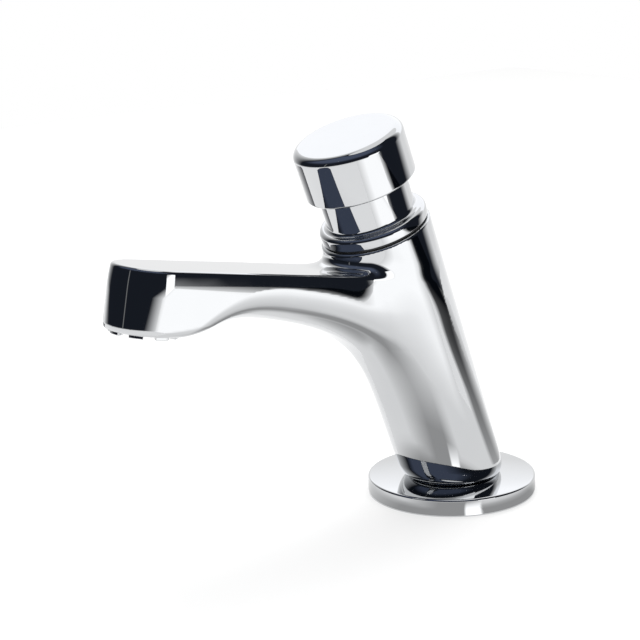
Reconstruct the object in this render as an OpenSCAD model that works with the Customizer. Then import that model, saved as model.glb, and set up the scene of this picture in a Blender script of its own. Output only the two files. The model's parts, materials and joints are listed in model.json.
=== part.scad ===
// Push timed tap for a basin: leaning column, flat-topped spout, push cap and timing cartridge.
// Millimetres. The origin is the middle of the flange's underside, on the deck. +Z is up and the
// spout points towards -Y.

/* [Base flange] */
// Diameter of the flange
flange_d = 60; // [54:0.5:70]
// Thickness of the flange
flange_t = 6.2; // [5:0.1:9]
// Rounding of the flange's upper edge
flange_edge_r = 0.8; // [0.3:0.1:1.5]
// Diameter of the gasket under the flange
gasket_d = 52; // [46:0.5:53]
// Inner diameter of the gasket
gasket_bore_d = 36; // [30:0.5:40]
// Thickness of the gasket
gasket_t = 2.4; // [1.5:0.1:3]

/* [Column] */
// Lean of the column towards the spout, in degrees
column_tilt = 19.8; // [17:0.1:22]
// Diameter of the column at its foot
column_foot_d = 35.8; // [34:0.1:38]
// Diameter of the column at its top
column_top_d = 38; // [36.5:0.1:40]
// Length of the column from the flange to the bonnet's seat
column_length = 100.2; // [97:0.1:104]
// How far the column's axis stands behind the inlet, on the flange
column_set_back = 1; // [0:0.1:2]
// How far the column's foot is drawn in where it meets the flange
foot_tuck = 3; // [1:0.1:4]

/* [Spout] */
// Distance from the inlet to the middle of the nose
spout_reach = 121.6; // [115:0.1:130]
// Height of the spout's flat top at the middle of the nose
spout_height = 101.6; // [99:0.1:104]
// Rise of the spout's flat top, in degrees
spout_rise = 10.3; // [8:0.1:12]
// Width of the nose at the top
nose_top_w = 27.1; // [26:0.1:32]
// Width of the nose at its lower rim
nose_low_w = 26; // [25.6:0.1:31]
// Depth of the nose
nose_depth = 20.7; // [19:0.1:24]
// How far the lower rim stands in front of the top edge
nose_lean = 0.8; // [0:0.1:2]
// Widening of each side of the spout towards the column, per millimetre
spout_flare = 0.02; // [0:0.005:0.04]
// Rounding of the flat top's edge
top_edge_r = 0.8; // [0.4:0.1:2]
// Rounding of the lower edges under the arch
arch_edge_r = 9; // [6:0.5:10]
// Size of the arch between the spout and the column
arch_size = 19.2; // [18:0.1:20]
// Depth of the spout at the arch's asymptote
arch_depth = 10; // [9.5:0.1:12]
// Diameter of the waterway in the spout
waterway_d = 8; // [6:0.1:9]
// Depth of the waterway's axis under the flat top
waterway_depth = 8; // [7:0.1:9]

/* [Bonnet and cap] */
// Diameter of the bonnet's neck
neck_d = 30.6; // [30:0.1:33]
// How far the bead stands inside the column's top edge
bead_inset = 0.4; // [0:0.1:1]
// Height of the bead
bead_h = 4.2; // [3.5:0.1:6]
// Fillet between the bead and the neck
bead_fillet_r = 1.5; // [1:0.1:2]
// Thickness of the gasket under the bead
bonnet_gasket_t = 0.8; // [0.5:0.1:1.5]
// Diameter of the bonnet's thread
bonnet_thread_d = 29; // [28:0.1:30]
// Length of the bonnet's thread
bonnet_thread_l = 14; // [10:0.1:15]
// Room between the neck and the cap's skirt
cap_room = 1.7; // [1:0.1:2.5]
// Height of the push cap
cap_h = 17.6; // [16:0.1:20]
// Rounding of the cap's upper edge
cap_edge_r = 3; // [1:0.1:3.5]
// Rounding of the cap's lower rim
cap_rim_r = 0.9; // [0.3:0.1:0.9]
// Wall of the cap's skirt
cap_wall = 2; // [1.5:0.1:2.5]
// Thickness of the cap's top, which is more than its edge rounding
cap_top_t = 3.4; // [3:0.1:4]
// Height of the cap's lower rim above the seat
cap_lift = 17; // [16.5:0.1:20]
// Travel of the push cap
push_travel = 6; // [4:0.1:6.5]

/* [Cartridge] */
// Bore of the cartridge chamber in the column
chamber_d = 26; // [25:0.1:26.5]
// Depth of the chamber below the seat
chamber_depth = 66; // [65.5:0.1:70]
// Bore of the timing cylinder
cylinder_d = 20; // [19:0.1:21]
// Height of the barrel's top above the seat
barrel_top = 13; // [12:0.1:13.5]
// Thickness of the valve seat
seat_t = 5; // [4:0.1:5.5]
// Bore of the valve seat
seat_bore_d = 11.5; // [10.5:0.1:12]
// Diameter of the push stem
stem_d = 8; // [7:0.1:8.5]
// Length of the return spring at rest
spring_l = 20; // [18:0.1:21]
// Mean diameter of the return spring
spring_d = 15; // [14.8:0.1:16.5]
// Wire of the return spring
spring_wire_d = 1.4; // [1:0.1:1.6]
// Turns of the return spring
spring_turns = 6; // [4:1:7]
// Thickness of the poppet under the seat
poppet_t = 4; // [3:0.1:4.5]
// Thickness of the poppet's seal
poppet_seal_t = 2.3; // [1.5:0.1:2.5]
// Thickness of the timing piston
piston_t = 6; // [4:0.1:6.5]

/* [Inlet and fixing] */
// Diameter of the inlet thread
shank_d = 20.955; // [20:0.005:21.5]
// Bore of the inlet shank
shank_bore_d = 14; // [12:0.1:15]
// Length of the shank below the deck's surface
shank_below = 50; // [44:0.5:70]
// Length of the shank screwed into the column
shank_socket_l = 13; // [10:0.1:14]
// Thickness of the deck that is clamped
deck_t = 18; // [10:0.5:20]
// Diameter of the washers under the deck
deck_washer_d = 44; // [36:0.5:50]
// Thickness of the soft washer
deck_washer_t = 2.5; // [1.5:0.1:4]
// Thickness of the metal washer
metal_washer_t = 1.5; // [1:0.1:2.5]
// Length of the thread for the supply hose
hose_thread_l = 16; // [12:0.5:18]
// Width across the backnut's flats
backnut_af = 30; // [27:0.5:36]
// Thickness of the backnut
backnut_t = 8; // [6:0.1:9]

/* [Aerator] */
// Diameter of the aerator's thread
aerator_d = 22; // [20:0.1:22.4]
// Length of the aerator's housing in the nose
aerator_l = 8.5; // [7:0.1:9]
// How far the notched rim stands below the nose
aerator_proud = 1; // [0.5:0.1:2]
// Notches in the aerator's rim
aerator_notches = 8; // [6:1:12]
// Holes across the jet plate, counted from the middle
jet_rings = 3; // [2:1:4]

/* [Hidden] */
$fn = 64;
// A cut runs this far past the face that it opens
past = 1;
// Radial room of a screwed or seated fit
fit = 0.05;
// Room between pieces that move past each other without touching
clear = 0.3;
// The poppet's seal stands this far under its seat
seal_gap = 0.1;

// Heights along the column's axis, from the flange's upper face
seat_h = column_length;
chamber_floor = seat_h - chamber_depth;
cup_t = 2;
spring_foot = chamber_floor + cup_t;
poppet_foot = spring_foot + spring_l;
poppet_seal_foot = poppet_foot + poppet_t;
seat_ring_foot = poppet_seal_foot + poppet_seal_t + seal_gap;
barrel_foot = seat_ring_foot + seat_t;
barrel_head = seat_h + barrel_top;
skirt_foot = seat_h - bonnet_thread_l;
cap_foot = seat_h + cap_lift;
cap_head = cap_foot + cap_h;
cap_ceiling = cap_head - cap_top_t;
// The neck stops this far under the cap's ceiling when the cap is pressed
neck_room = 1.4;
neck_head = cap_ceiling - push_travel - neck_room;

// Sizes that follow from their neighbours
bead_d = column_top_d - 2 * bead_inset;
bead_w = (bead_d - neck_d) / 2;
cap_bore_d = neck_d + 2 * cap_room;
cap_d = cap_bore_d + 2 * cap_wall;
inlet_step = 0.5;
inlet_passage_d = shank_bore_d - 2 * inlet_step;
barrel_d = chamber_d - 2 * fit;
piston_d = cylinder_d - 4 * fit;
gland_flange_t = 2;
gland_t = 6;
gland_foot = barrel_head - gland_t;
lip_foot = barrel_head + gland_flange_t;
lip_t = 2.5;
lip_w = 1;
lip_d = cylinder_d - 2 * lip_w;
collar_t = 1.8;
collar_w = 1.5;
collar_d = stem_d + 2 * collar_w;
collar_foot = gland_foot - clear - collar_t;
cup_seal_t = 3;
cup_seal_foot = collar_foot - cup_seal_t;
piston_foot = cup_seal_foot - piston_t;
circlip_t = 1;
circlip_w = 2;
poppet_rim = 0.3;
poppet_d = spring_d + spring_wire_d + 2 * poppet_rim;
poppet_nut_t = 5;
poppet_nut_room = 1.3;
poppet_nut_af = spring_d - spring_wire_d - 2 * poppet_nut_room;
insert_wall = 4;
insert_d = stem_d + 2 * insert_wall;
insert_l = 6;
insert_socket_wall = 1.5;
insert_socket_l = 4;

relief_w = 2;
relief_depth = 2.4;

// The waterway meets the chamber's wall at this height along the axis
nose_s = [0, -cos(spout_rise), sin(spout_rise)];
nose_n = [0, sin(spout_rise), cos(spout_rise)];
nose_point = [0, -spout_reach, spout_height];
foot_point = [0, column_set_back, flange_t];
axis_up = [0, -sin(column_tilt), cos(column_tilt)];
axis_front = [0, -cos(column_tilt), -sin(column_tilt)];
waterway_point = nose_point - waterway_depth * nose_n;
waterway_l = ((waterway_point - foot_point) * axis_front) / (nose_s * axis_front);
waterway_slope = (nose_s * axis_up) / (nose_s * axis_front);
waterway_axis_h = (waterway_point - foot_point) * axis_up - waterway_l * (nose_s * axis_up);
port_h = waterway_axis_h + waterway_slope * chamber_d / 2;
port_d = 5;
ports = 6;
gallery_room = 1;
gallery_h = waterway_d + 2 * gallery_room;
gallery_wall = 1.5;
gallery_d = cylinder_d + 2 * gallery_wall;

// The aerator's bore in the nose, from its lower rim upwards
aerator_s = 1.3;
aerator_seal_t = 2;
aerator_bore_l = aerator_l + aerator_seal_t;
aerator_wall = 1.7;
aerator_inner_d = aerator_d - 2 * aerator_wall;
seal_ledge = 0.5;
settling_d = aerator_inner_d - 2 * seal_ledge;
nose_roof_t = 4;
settling_l = nose_depth - aerator_bore_l - nose_roof_t;

// Shape of the casting's skin
tuck_slope = 0.5;
arch_slope = -0.04;
arch_front = 6;
rim_r = 0.8;
rim_past = 1.2;
collar_back = 11.5;
collar_blend = 16;
root_front = 16;
root_taper = 12;
skin_past_seat = 8;
seat_cut_room = 5;
// Rounding of the lower edges at the nose, and where along the spout it grows to that of the arch
nose_edge_r = 1.2;
edge_start = -8;
edge_end = -45;
// Fillet between spout and column at the top, at the sides and low down, and the depths between them
top_blend = 12;
side_blend = 20;
low_blend = 8;
side_start = -2;
side_end = -18;
low_start = -25;
low_end = -55;
// Box that trims the nose's lower rim flat
trim_past = 2.5;
trim_t = 5;

// Places the children on the column's axis, h above the flange
module on_axis(h = 0) {
    translate(foot_point) rotate([column_tilt, 0, 0]) translate([0, 0, h]) children();
}

// Places the children on the nose, s in front of its middle and n above its flat top
module on_nose(s = 0, n = 0) {
    translate(nose_point) rotate([-spout_rise, 0, 0]) translate([0, -s, n]) children();
}

// A ring about Z with its foot at z = 0
module ring(outer_d, inner_d, height) {
    rotate_extrude() translate([inner_d / 2, 0]) square([(outer_d - inner_d) / 2, height]);
}

// A turned bar about Z with its foot at z = 0, rounded at its upper and lower edge
module turned_bar(outer_d, height, top_r, low_r) {
    rotate_extrude($fn = 96) difference() {
        square([outer_d / 2, height]);
        translate([outer_d / 2 - top_r, height - top_r]) outer_corner(top_r);
        translate([outer_d / 2 - low_r, low_r]) mirror([0, 1]) outer_corner(low_r);
    }
}

// What a rounding of radius r takes off a square corner
module outer_corner(r) {
    difference() {
        square(2 * r);
        circle(r = r);
    }
}

// A ring of round section about Z, with its foot at z = 0
module round_ring(outer_d, inner_d) {
    section_d = (outer_d - inner_d) / 2;
    rotate_extrude() translate([(outer_d + inner_d) / 4, section_d / 2]) circle(d = section_d, $fn = 24);
}

// The lesser of two fields, blended over the width k
function soft_min(a, b, k) =
    let (h = max(k - abs(a - b), 0) / k)
    min(a, b) - h * h * h * k / 6;

// The greater of two fields, with its edge rounded by r
function round_max(a, b, r) = min(max(a, b), -r) + norm([max(a + r, 0), max(b + r, 0)]);

// Smooth rise from 0 at lo to 1 at hi
function ease(lo, hi, v) =
    let (t = min(max((v - lo) / (hi - lo), 0), 1))
    t * t * (3 - 2 * t);

// Skin of the column: negative inside
function column_field(x, front, h, z) =
    let (r = column_foot_d / 2 + (column_top_d - column_foot_d) / 2 * h / seat_h)
    let (side = norm([x, front]) - r)
    let (tucked = round_max(side, tuck_slope * (flange_t - z), foot_tuck))
    max(tucked, h - seat_h - skin_past_seat);

// Skin of the spout: flat top, round nose, arched underside
function spout_field(x, front, s, n) =
    let (u = min(max(-n / nose_depth, 0), rim_past))
    let (sc = s - nose_lean * u)
    let (half_w = (nose_top_w + (nose_low_w - nose_top_w) * u) / 2)
    let (nose = norm([x, max(sc, 0)]) - half_w)
    let (plan = nose - spout_flare * max(-sc, 0) + root_taper * ease(root_front, 0, front))
    let (arm = round_max(plan, n, top_edge_r))
    let (below = max(-arch_depth - n + arch_slope * s, 0))
    let (ahead = max(norm([x, max(front, 0)]) - arch_front, 0))
    let (arch = (below * ahead - arch_size * arch_size) / norm([below, ahead, arch_size]))
    let (rim = round_max(nose, -(n + nose_depth + rim_r), rim_r))
    let (collar = max(rim, -sc - collar_back))
    let (under = soft_min(arch, collar, collar_blend))
    let (edge_r = nose_edge_r + (arch_edge_r - nose_edge_r) * ease(edge_start, edge_end, s))
    max(round_max(arm, under, edge_r), -front);

// Skin of the whole casting at the point p
function casting_field(p) =
    let (q = p - foot_point)
    let (h = q * axis_up)
    let (front = q * axis_front)
    let (w = p - nose_point)
    let (s = w * nose_s)
    let (n = w * nose_n)
    let (wide = top_blend + (side_blend - top_blend) * ease(side_start, side_end, n))
    let (blend = wide + (low_blend - wide) * ease(low_start, low_end, n))
    soft_min(column_field(p[0], front, h, p[2]), spout_field(p[0], front, s, n), blend);

// Distance from c along d to the skin, by halving the reach between inside and outside
function reach(c, d, near, far, tries) =
    let (mid = (near + far) / 2)
    tries == 0 ? mid
    : casting_field(c + mid * d) < 0 ? reach(c, d, mid, far, tries - 1)
    : reach(c, d, near, mid, tries - 1);

// Half a section of the skin about c, in the plane of X and the direction up: rays from straight down
// to straight up, closer together at the flat top's corner
ray_reach = 60;
ray_tries = 18;
low_rays = 10;
side_rays = 5;
top_rays = 5;
corner_before = 1.5;
corner_after = 2.5;
function skin_section(c, up, corner) = [
    for (a = concat(
        [for (i = [0 : low_rays - 1]) 90 * (i / low_rays - 1)],
        [for (i = [0 : side_rays - 1]) corner * i / side_rays],
        [corner - corner_before, corner, corner + corner_after],
        [for (i = [1 : top_rays]) corner + (90 - corner) * i / top_rays]
    ))
    let (d = [cos(a), 0, 0] + sin(a) * up)
    c + reach(c, d, 0, ray_reach, ray_tries) * d
];

// Both halves of a section as one closed ring
function whole_ring(half) = concat(
    half,
    [for (i = [len(half) - 2 : -1 : 1]) [-half[i][0], half[i][1], half[i][2]]]
);

// Sections turn about a line under the arch, from the flange to the spout, and then run to the nose
turn_back = 26.6;
turn_point = [0, turn_back - spout_reach, flange_t];
turn_end = 90 - spout_rise;
section_depth = 9;
function turn_section(a) =
    let (d = [0, cos(a), sin(a)])
    let (to_axis = ((foot_point - turn_point) * axis_front) / (d * axis_front))
    let (to_spout = ((nose_point - turn_point) * nose_n - section_depth) / (d * nose_n))
    let (c = turn_point + min(to_axis, to_spout) * d)
    let (s = (c - nose_point) * nose_s)
    let (half_w = nose_top_w / 2 - spout_flare * s)
    whole_ring(skin_section(c, d, atan2(section_depth / (d * nose_n), half_w)));
function spout_section(s) =
    let (c = nose_point + s * nose_s - section_depth * nose_n)
    let (round_w = sqrt(max(nose_top_w * nose_top_w / 4 - s * s, 1)))
    let (half_w = s > 0 ? round_w : nose_top_w / 2 - spout_flare * s)
    whole_ring(skin_section(c, nose_n, atan2(section_depth, half_w)));

// Angles at which the foot's tuck ends and the boss under the bonnet starts and ends
tuck_end = 4.2;
boss_start = 48;
boss_end = 68;
tuck_sections = 6;
column_sections = 18;
boss_sections = 18;
root_sections = 5;
turn_angles = concat(
    [for (i = [0 : tuck_sections]) tuck_end * i / tuck_sections],
    [for (i = [1 : column_sections]) tuck_end + (boss_start - tuck_end) * i / column_sections],
    [for (i = [1 : boss_sections]) boss_start + (boss_end - boss_start) * i / boss_sections],
    [for (i = [1 : root_sections]) boss_end + (turn_end - boss_end) * i / root_sections]
);

// The last section stands just inside the nose's front, at the depth of the sections' middle
spout_sections = 18;
nose_sections = 8;
tip_short = 0.15;
tip_u = section_depth / nose_depth;
nose_tip = (nose_top_w + (nose_low_w - nose_top_w) * tip_u) / 2 + nose_lean * tip_u - tip_short;
spout_start = (turn_point - nose_point) * nose_s;

// The casting's skin as one closed body
module casting_skin() {
    rings = concat(
        [for (a = turn_angles) turn_section(a)],
        [for (i = [1 : spout_sections]) spout_section(spout_start * (1 - i / spout_sections))],
        [for (i = [1 : nose_sections]) spout_section(nose_tip * sin(90 * i / nose_sections))]
    );
    count = len(rings[0]);
    last = len(rings) - 1;
    sides = [
        for (k = [0 : last - 1], i = [0 : count - 1])
        let (j = (i + 1) % count)
        each [
            [k * count + i, k * count + j, (k + 1) * count + j],
            [k * count + i, (k + 1) * count + j, (k + 1) * count + i]
        ]
    ];
    foot_face = [for (i = [count - 1 : -1 : 0]) i];
    tip_face = [for (i = [0 : count - 1]) last * count + i];
    polyhedron([for (r = rings) each r], concat([foot_face, tip_face], sides));
}

// Column and spout in one casting
module body_casting() color("gainsboro") difference() {
    casting_skin();
    on_axis(seat_h) cylinder(d = column_top_d + 2 * seat_cut_room, h = 2 * skin_past_seat);
    on_axis(chamber_floor) cylinder(d = chamber_d, h = chamber_depth + past);
    on_axis(skirt_foot - clear) cylinder(d = bonnet_thread_d, h = bonnet_thread_l + clear + past);
    on_axis(shank_socket_l / 2)
        cylinder(d = inlet_passage_d, h = chamber_floor - shank_socket_l / 2 + past);
    translate([0, 0, flange_t - past]) cylinder(d = shank_d + 2 * fit, h = shank_socket_l + past);
    on_nose(0, -waterway_depth) rotate([-90, 0, 0])
        cylinder(d = waterway_d, h = waterway_l - cylinder_d / 2);
    on_nose(0, -nose_depth - trim_t) translate([-nose_low_w, -nose_low_w, 0])
        cube([2 * nose_low_w, nose_low_w + collar_back + trim_past, trim_t]);
    on_nose(aerator_s, -nose_depth - past) cylinder(d = aerator_d + 2 * fit, h = aerator_bore_l + past);
    on_nose(aerator_s, -nose_depth) cylinder(d = settling_d, h = aerator_bore_l + settling_l);
}

// Round flange that the column stands on
flange_foot_r = 0.3;
module base_flange() color("gainsboro") difference() {
    turned_bar(flange_d, flange_t, flange_edge_r, flange_foot_r);
    translate([0, 0, -past]) cylinder(d = shank_d + 2 * clear, h = flange_t + 2 * past);
    translate([0, 0, -past]) ring(gasket_d + 2 * fit, gasket_bore_d - 2 * fit, gasket_t + past);
}

// Soft ring between the flange and the deck
module base_gasket() color("dimgray") ring(gasket_d, gasket_bore_d, gasket_t);

// Threaded inlet, screwed into the column's foot, with a relief groove above the hose's thread
module inlet_shank() color("darkgoldenrod") translate([0, 0, -shank_below]) difference() {
    ring(shank_d, shank_bore_d, shank_below + flange_t + shank_socket_l - clear);
    translate([0, 0, hose_thread_l]) ring(shank_d + past, shank_d - relief_depth, relief_w);
}

// Cup-shaped strainer in the mouth of the shank
strainer_l = 8;
strainer_d = shank_bore_d - 2 * fit;
strainer_wall = 0.8;
strainer_holes = 6;
strainer_hole_d = 2;
module inlet_strainer() color("lightgray") translate([0, 0, -shank_below]) difference() {
    cylinder(d = strainer_d, h = strainer_l);
    translate([0, 0, -past])
        cylinder(d = strainer_d - 2 * strainer_wall, h = strainer_l - strainer_wall + past);
    cylinder(d = strainer_hole_d, h = strainer_l + past);
    for (i = [0 : strainer_holes - 1])
        rotate(360 / strainer_holes * i) translate([shank_bore_d / 4, 0, 0])
            cylinder(d = strainer_hole_d, h = strainer_l + past);
}

// Disc that limits the flow, above the strainer
regulator_t = 4;
regulator_bore_d = 3;
module flow_regulator() color("whitesmoke") translate([0, 0, strainer_l - shank_below])
    ring(strainer_d, regulator_bore_d, regulator_t);

// Soft washer, metal washer and nut under the deck
module deck_washer() color("dimgray") translate([0, 0, -deck_t - deck_washer_t])
    ring(deck_washer_d, shank_d + 2 * clear, deck_washer_t);

module backnut_washer() color("silver") translate([0, 0, -deck_t - deck_washer_t - metal_washer_t])
    ring(deck_washer_d, shank_d + 2 * clear, metal_washer_t);

backnut_foot = -deck_t - deck_washer_t - metal_washer_t - backnut_t;
module backnut() color("darkgoldenrod") translate([0, 0, backnut_foot])
    difference() {
        cylinder(d = backnut_af / cos(30), h = backnut_t, $fn = 6);
        translate([0, 0, -past]) cylinder(d = shank_d + 2 * fit, h = backnut_t + 2 * past);
    }

// Ring on the chamber's floor that carries the spring
module spring_cup() color("whitesmoke") on_axis(chamber_floor) ring(barrel_d, inlet_passage_d, cup_t);

// Return spring: one wire, with the last half turn of each end closed
spring_sides = 6;
spring_steps = 24;
closed_turns = 0.5;
// The wire's faceted section is this share of its round one
wire_share = 0.97;
// Share of the rise at the share v of the turns
function closed_rise(v) =
    let (e = closed_turns / spring_turns)
    v < e ? v * e
    : v > 1 - e ? 1 - (1 - v) * e
    : e * e + (1 - 2 * e * e) * (v - e) / (1 - 2 * e);
function spring_rise(t) = spring_wire_d / 2 + (spring_l - spring_wire_d) * closed_rise(t / spring_turns);
module return_spring() color("silver") on_axis(spring_foot) {
    rings = [
        for (k = [0 : spring_turns * spring_steps])
        let (a = 360 * k / spring_steps)
        [
            for (i = [0 : spring_sides - 1])
            let (b = 360 * i / spring_sides + 30)
            let (w = spring_wire_d / 2 * wire_share)
            let (r = spring_d / 2 + w * cos(b))
            [r * cos(a), r * sin(a), spring_rise(k / spring_steps) + w * sin(b)]
        ]
    ];
    last = len(rings) - 1;
    sides = [
        for (k = [0 : last - 1], i = [0 : spring_sides - 1])
        let (j = (i + 1) % spring_sides)
        each [
            [k * spring_sides + i, (k + 1) * spring_sides + j, k * spring_sides + j],
            [k * spring_sides + i, (k + 1) * spring_sides + i, (k + 1) * spring_sides + j]
        ]
    ];
    start = [for (i = [0 : spring_sides - 1]) i];
    end = [for (i = [spring_sides - 1 : -1 : 0]) last * spring_sides + i];
    polyhedron([for (r = rings) each r], concat([start, end], sides));
}

// Valve seat with a groove for its ring
oring_t = 2;
module seat_ring() color("darkgoldenrod") on_axis(seat_ring_foot) difference() {
    ring(barrel_d, seat_bore_d, seat_t);
    translate([0, 0, (seat_t - oring_t) / 2]) ring(barrel_d + past, barrel_d - 2 * oring_t, oring_t);
}

module seat_oring() color("dimgray") on_axis(seat_ring_foot + (seat_t - oring_t) / 2)
    round_ring(barrel_d, barrel_d - 2 * oring_t);

// Barrel of the timing cartridge, with its outlet ports
barrel_groove_lift = 4;
barrel_groove_h = skirt_foot + barrel_groove_lift;
barrel_oring_t = (barrel_d - gallery_d) / 2;
module cartridge_barrel() color("burlywood") on_axis() difference() {
    translate([0, 0, barrel_foot]) ring(barrel_d, cylinder_d, barrel_head - barrel_foot);
    translate([0, 0, port_h - gallery_h / 2]) ring(barrel_d + past, gallery_d, gallery_h);
    translate([0, 0, barrel_groove_h]) ring(barrel_d + past, gallery_d, barrel_oring_t);
    for (i = [0 : ports - 1]) rotate(360 / ports * i) translate([0, 0, port_h])
        rotate([90, 0, 0]) cylinder(d = port_d, h = chamber_d);
}

module barrel_oring() color("dimgray") on_axis(barrel_groove_h) round_ring(barrel_d, gallery_d);

// Bush that guides the stem and closes the timing cylinder
gland_oring_d = stem_d + 2 * oring_t;
gland_groove_foot = gland_foot + (gland_t - oring_t) / 2;
gland_l = gland_t + gland_flange_t;
needle_d = 2;
needle_off = 3;
needle_r = stem_d / 2 + needle_off;
module gland_bush() color("whitesmoke") on_axis() difference() {
    union() {
        translate([0, 0, gland_foot]) cylinder(d = cylinder_d - 2 * fit, h = gland_t);
        translate([0, 0, barrel_head]) cylinder(d = barrel_d, h = gland_flange_t);
    }
    translate([0, 0, gland_foot - past]) cylinder(d = stem_d + 2 * fit, h = gland_l + 2 * past);
    translate([0, 0, gland_groove_foot]) ring(gland_oring_d, stem_d, oring_t);
    translate([needle_r, 0, gland_foot - past]) cylinder(d = needle_d + 2 * fit, h = gland_l + 2 * past);
}

module stem_oring() color("dimgray") on_axis(gland_groove_foot) round_ring(gland_oring_d, stem_d + 2 * fit);

// Needle that sets how slowly the cylinder refills
needle_head_w = 0.5;
needle_head_t = 1;
module timing_needle() color("silver") on_axis() translate([needle_r, 0, 0]) {
    translate([0, 0, gland_foot]) cylinder(d = needle_d, h = lip_foot - gland_foot);
    translate([0, 0, lip_foot]) cylinder(d = needle_d + 2 * needle_head_w, h = needle_head_t);
}

// Bonnet: threaded skirt, bead and neck in one turned piece
bonnet_foot = seat_h + bonnet_gasket_t;
bead_head = bonnet_foot + bead_h;
neck_fillet_r = min(bead_fillet_r, bead_w / 2);
bead_top_r = bead_w - neck_fillet_r;
bead_foot_r = 0.5;
module bonnet() color("gainsboro") on_axis() difference() {
    union() {
        translate([0, 0, skirt_foot])
            cylinder(d = bonnet_thread_d - 2 * fit, h = bonnet_foot - skirt_foot + past);
        translate([0, 0, bonnet_foot]) cylinder(d = neck_d, h = neck_head - bonnet_foot);
        translate([0, 0, bonnet_foot]) turned_bar(bead_d, bead_h, bead_top_r, bead_foot_r);
        rotate_extrude($fn = 96) translate([neck_d / 2 - past, bead_head - past]) difference() {
            square(neck_fillet_r + past);
            translate([neck_fillet_r + past, neck_fillet_r + past]) circle(r = neck_fillet_r);
        }
    }
    translate([0, 0, skirt_foot - past]) cylinder(d = chamber_d, h = lip_foot - skirt_foot + past);
    translate([0, 0, skirt_foot]) cylinder(d = lip_d, h = neck_head - skirt_foot + past);
    translate([0, 0, lip_foot + lip_t]) cylinder(d = chamber_d, h = neck_head - lip_foot);
}

// Thin gasket between the bead and the column, seen as a dark line
bonnet_gasket_inset = 0.7;
module bonnet_gasket() color("dimgray") on_axis(seat_h)
    ring(bead_d - 2 * bonnet_gasket_inset, bonnet_thread_d + 2 * fit, bonnet_gasket_t);

// Push cap: a turned cup with a socket for its insert
socket_r = insert_d / 2 + fit;
cap_cavity_h = cap_h - cap_top_t;
module push_cap() color("gainsboro") on_axis(cap_foot) difference() {
    turned_bar(cap_d, cap_h, cap_edge_r, cap_rim_r);
    rotate_extrude($fn = 96) polygon([
        [0, -past],
        [cap_bore_d / 2, -past],
        [cap_bore_d / 2, cap_cavity_h],
        [socket_r + insert_socket_wall, cap_cavity_h],
        [socket_r + insert_socket_wall, cap_cavity_h - insert_socket_l],
        [socket_r, cap_cavity_h - insert_socket_l],
        [socket_r, cap_cavity_h],
        [0, cap_cavity_h]
    ]);
}

// Threaded bush that holds the cap on the stem
module cap_insert() color("darkgoldenrod") on_axis(cap_ceiling - insert_l)
    ring(insert_d, stem_d + 2 * fit, insert_l);

// Stem from the cap to the poppet
stem_foot = poppet_foot - poppet_nut_t;
module push_stem() color("silver") on_axis() {
    translate([0, 0, stem_foot]) cylinder(d = stem_d, h = cap_ceiling - clear - stem_foot);
    translate([0, 0, collar_foot]) cylinder(d = collar_d, h = collar_t);
}

// Timing piston, its cup seal and its circlip, on the stem
module timing_piston() color("whitesmoke") on_axis(piston_foot) ring(piston_d, stem_d + 2 * fit, piston_t);

cup_seal_wall = 1.6;
module piston_cup_seal() color("dimgray") on_axis(cup_seal_foot) difference() {
    ring(piston_d, stem_d + 2 * fit, cup_seal_t);
    translate([0, 0, cup_seal_t / 2])
        ring(piston_d - 2 * cup_seal_wall, collar_d + 2 * clear, cup_seal_t);
}

module piston_circlip() color("silver") on_axis(piston_foot - circlip_t)
    ring(stem_d + 2 * circlip_w, stem_d + 2 * fit, circlip_t);

// Poppet under the seat, its seal and its nut
module poppet() color("darkgoldenrod") on_axis(poppet_foot) ring(poppet_d, stem_d + 2 * fit, poppet_t);

poppet_seal_inset = 0.5;
module poppet_seal() color("dimgray") on_axis(poppet_seal_foot)
    ring(poppet_d - 2 * poppet_seal_inset, stem_d + 2 * fit, poppet_seal_t);

module poppet_nut() color("darkgoldenrod") on_axis(poppet_foot - poppet_nut_t) difference() {
    cylinder(d = poppet_nut_af / cos(30), h = poppet_nut_t, $fn = 6);
    translate([0, 0, -past]) cylinder(d = stem_d + 2 * fit, h = poppet_nut_t + 2 * past);
}

// Aerator: notched housing, jet plate and seal
aerator_lip_w = 1;
aerator_lip_d = aerator_inner_d - 2 * aerator_lip_w;
notch_w = 4;
module aerator_housing() color("gainsboro") on_nose(aerator_s, -nose_depth) difference() {
    translate([0, 0, -aerator_proud]) ring(aerator_d, aerator_lip_d, aerator_l + aerator_proud);
    cylinder(d = aerator_inner_d, h = aerator_l + past);
    for (i = [0 : aerator_notches - 1])
        rotate(360 / aerator_notches * (i + 0.5))
            translate([aerator_lip_d / 2 - past, -notch_w / 2, -aerator_proud - past])
                cube([(aerator_d - aerator_lip_d) / 2 + 2 * past, notch_w, aerator_proud + past]);
}

jet_t = 5;
jet_d = 1.6;
jet_step = 2.6;
jets_around = 6;
module aerator_insert() color("whitesmoke") on_nose(aerator_s, -nose_depth) difference() {
    cylinder(d = aerator_inner_d - 2 * fit, h = jet_t);
    translate([0, 0, -past]) cylinder(d = jet_d, h = jet_t + 2 * past);
    for (k = [1 : jet_rings], i = [0 : jets_around * k - 1])
        rotate(360 / jets_around * i / k) translate([jet_step * k, 0, -past])
            cylinder(d = jet_d, h = jet_t + 2 * past, $fn = 24);
}

module aerator_seal() color("dimgray") on_nose(aerator_s, aerator_l - nose_depth)
    ring(aerator_d, settling_d, aerator_seal_t);

body_casting();
base_flange();
base_gasket();
inlet_shank();
inlet_strainer();
flow_regulator();
deck_washer();
backnut_washer();
backnut();
spring_cup();
return_spring();
seat_ring();
seat_oring();
cartridge_barrel();
barrel_oring();
gland_bush();
stem_oring();
timing_needle();
bonnet();
bonnet_gasket();
push_cap();
cap_insert();
push_stem();
timing_piston();
piston_cup_seal();
piston_circlip();
poppet();
poppet_seal();
poppet_nut();
aerator_housing();
aerator_insert();
aerator_seal();
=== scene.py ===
"""Looks of the push timed tap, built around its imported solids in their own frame."""

import itertools
import json
import math

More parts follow.
